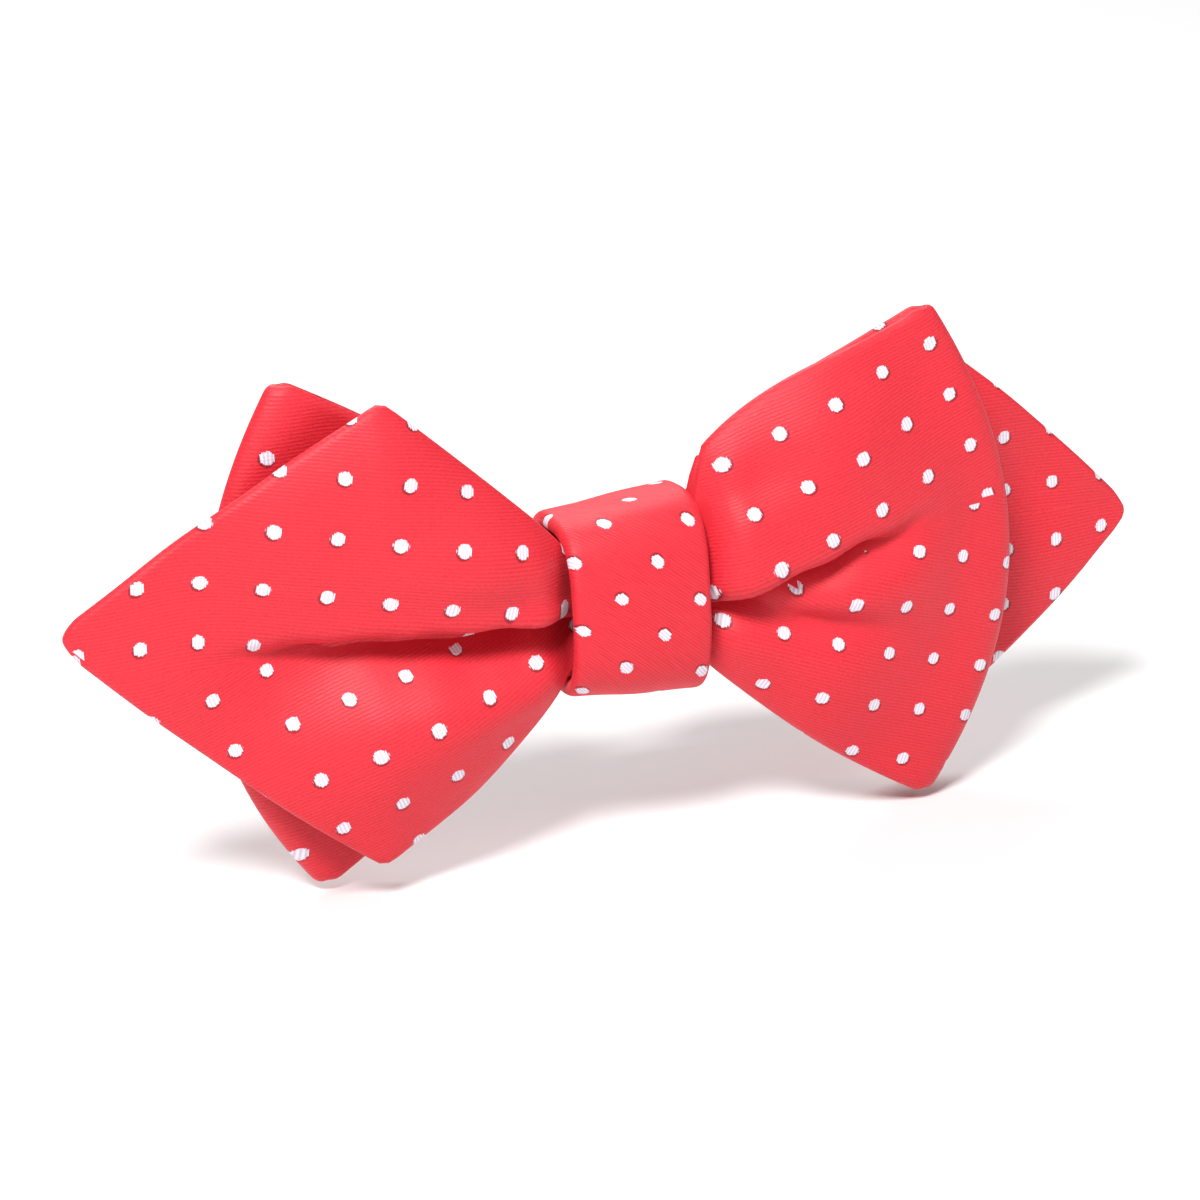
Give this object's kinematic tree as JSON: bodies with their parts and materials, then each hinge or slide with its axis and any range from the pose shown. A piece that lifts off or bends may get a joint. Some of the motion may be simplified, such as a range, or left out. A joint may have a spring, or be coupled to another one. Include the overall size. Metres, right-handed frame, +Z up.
{
  "type": "bow tie",
  "caption": "Pre-tied bow tie with pointed ends: a dotted strip folded to and fro through a knot band, with a sprung clip behind the knot.",
  "frame": {"origin": "middle of the bounding box, on the floor that the lowest corners of the folds stand on", "axes": "+X towards the wearer's left, which is the right-hand side seen from the front; -Y is the front; +Z up"},
  "size_m": [0.1246, 0.0236, 0.0566],
  "materials": {
    "dotted_twill": "fine twill with woven pale dots",
    "interlining": "brushed cotton",
    "sewing_thread": "spun thread",
    "clip_steel": "bright nickel plate",
    "spring_steel": "drawn wire"
  },
  "bodies": {
    "bow": {"bow_face_cloth": "dotted_twill", "bow_back_cloth": "dotted_twill", "knot_band": "dotted_twill", "bow_interlining": "interlining", "knot_interlining": "interlining", "waist_binding_thread": "sewing_thread", "knot_closing_stitches": "sewing_thread", "clip_stitch_left": "sewing_thread", "clip_stitch_right": "sewing_thread", "clip_plate": "clip_steel", "left_hinge_pin": "clip_steel", "right_hinge_pin": "clip_steel", "left_spring": "spring_steel", "right_spring": "spring_steel"},
    "left_jaw": {"left_jaw": "clip_steel"},
    "right_jaw": {"right_jaw": "clip_steel"}
  },
  "joints": [
    {"name": "left_jaw_hinge", "type": "hinge", "parent": "bow", "child": "left_jaw", "pos_m": [-0.01213, 0.00891, 0.02848], "axis": [0, 0, -1], "range_deg": [0, 25], "stiffness_Nm_per_rad": 0.03, "springref_deg": -40.11, "deforming": ["left_spring"]},
    {"name": "right_jaw_hinge", "type": "hinge", "parent": "bow", "child": "right_jaw", "pos_m": [0.00688, 0.00891, 0.02848], "axis": [0, 0, 1], "range_deg": [0, 25], "stiffness_Nm_per_rad": 0.03, "springref_deg": -40.11, "deforming": ["right_spring"]}
  ]
}
